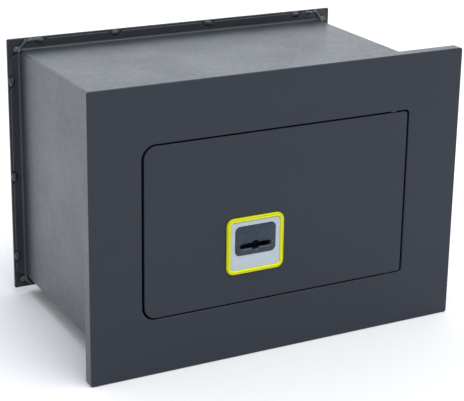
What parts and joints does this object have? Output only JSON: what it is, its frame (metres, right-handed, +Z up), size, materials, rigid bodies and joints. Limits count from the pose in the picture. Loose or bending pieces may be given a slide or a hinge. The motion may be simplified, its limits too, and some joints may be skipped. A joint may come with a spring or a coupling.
{
  "type": "wall safe",
  "caption": "Recessed wall safe: steel box with a wide front frame, a pivoting plate door, two sliding bolts and a double-bit key lock behind a framed key plate.",
  "frame": {"origin": "centre of the back plate's rear face", "axes": "+X right seen from the front, +Y into the wall, +Z up"},
  "size_m": [0.38, 0.2325, 0.27],
  "materials": {
    "graphite_paint": "fine textured powder coat, satin",
    "box_paint": "thin sprayed coat on sheet steel, satin",
    "flange_paint": "thin sprayed primer, matt",
    "yellow_plastic": "moulded, semi-gloss",
    "pale_plastic": "satin",
    "dark_plastic": "satin",
    "zinc_steel": "zinc plated",
    "bright_steel": "turned",
    "hard_steel": "hardened, dark",
    "brass": "stamped"
  },
  "bodies": {
    "safe_body": {"front_frame": "graphite_paint", "body_shell": "box_paint", "rear_lip_top": "flange_paint", "rear_lip_bottom": "flange_paint", "rear_lip_left": "flange_paint", "rear_lip_right": "flange_paint", "back_plate": "flange_paint", "bolt_keeper": "graphite_paint", "hinge_pin_upper": "hard_steel", "hinge_pin_lower": "hard_steel", "door_stop_upper": "graphite_paint", "door_stop_lower": "graphite_paint"},
    "door": {"bolt_guide_lower": "graphite_paint", "bolt_guide_upper": "graphite_paint", "door_plate": "graphite_paint", "hard_plate": "hard_steel", "hinge_side_dog_bar": "graphite_paint", "key_plate_bezel": "yellow_plastic", "key_plate_panel": "pale_plastic", "keyhole_insert": "dark_plastic", "lever_post": "bright_steel", "lever_spring": "bright_steel", "lock_case": "zinc_steel", "lock_case_screw_1": "zinc_steel", "lock_case_screw_2": "zinc_steel", "lock_case_screw_3": "zinc_steel", "lock_case_screw_4": "zinc_steel", "lock_cover": "zinc_steel", "lock_cover_screw_1": "zinc_steel", "lock_cover_screw_2": "zinc_steel", "lock_cover_screw_3": "zinc_steel"},
    "bolt_carriage": {"bolt_bar": "zinc_steel", "locking_bolt_upper": "bright_steel", "locking_bolt_lower": "bright_steel", "bolt_screw_upper": "zinc_steel", "bolt_screw_lower": "zinc_steel", "lock_bolt": "bright_steel"},
    "key_barrel": {"key_barrel": "brass"},
    "lever_pack": {"lever_1": "brass", "lever_2": "brass", "lever_3": "brass", "lever_4": "brass"}
  },
  "joints": [
    {"name": "door_swing", "type": "hinge", "parent": "safe_body", "child": "door", "pos_m": [0.118, -0.224, 0], "axis": [0, 0, 1], "range_deg": [0, 110]},
    {"name": "key_turn", "type": "hinge", "parent": "door", "child": "key_barrel", "pos_m": [-0.029, -0.21, -0.026], "axis": [0, -1, 0], "range_deg": [0, 180]},
    {"name": "bolt_throw", "type": "slide", "parent": "door", "child": "bolt_carriage", "axis": [-1, 0, 0], "range_m": [0, 0.02356]},
    {"name": "lever_lift", "type": "hinge", "parent": "door", "child": "lever_pack", "pos_m": [-0.002, -0.205, -0.045], "axis": [0, -1, 0], "range_deg": [0, 4], "stiffness_Nm_per_rad": 0.15, "springref_deg": -8.59, "deforming": ["lever_spring"]}
  ],
  "couplings": [
    {"joint": "key_turn", "follows": "bolt_throw", "rad_per_m": 133.33}
  ]
}
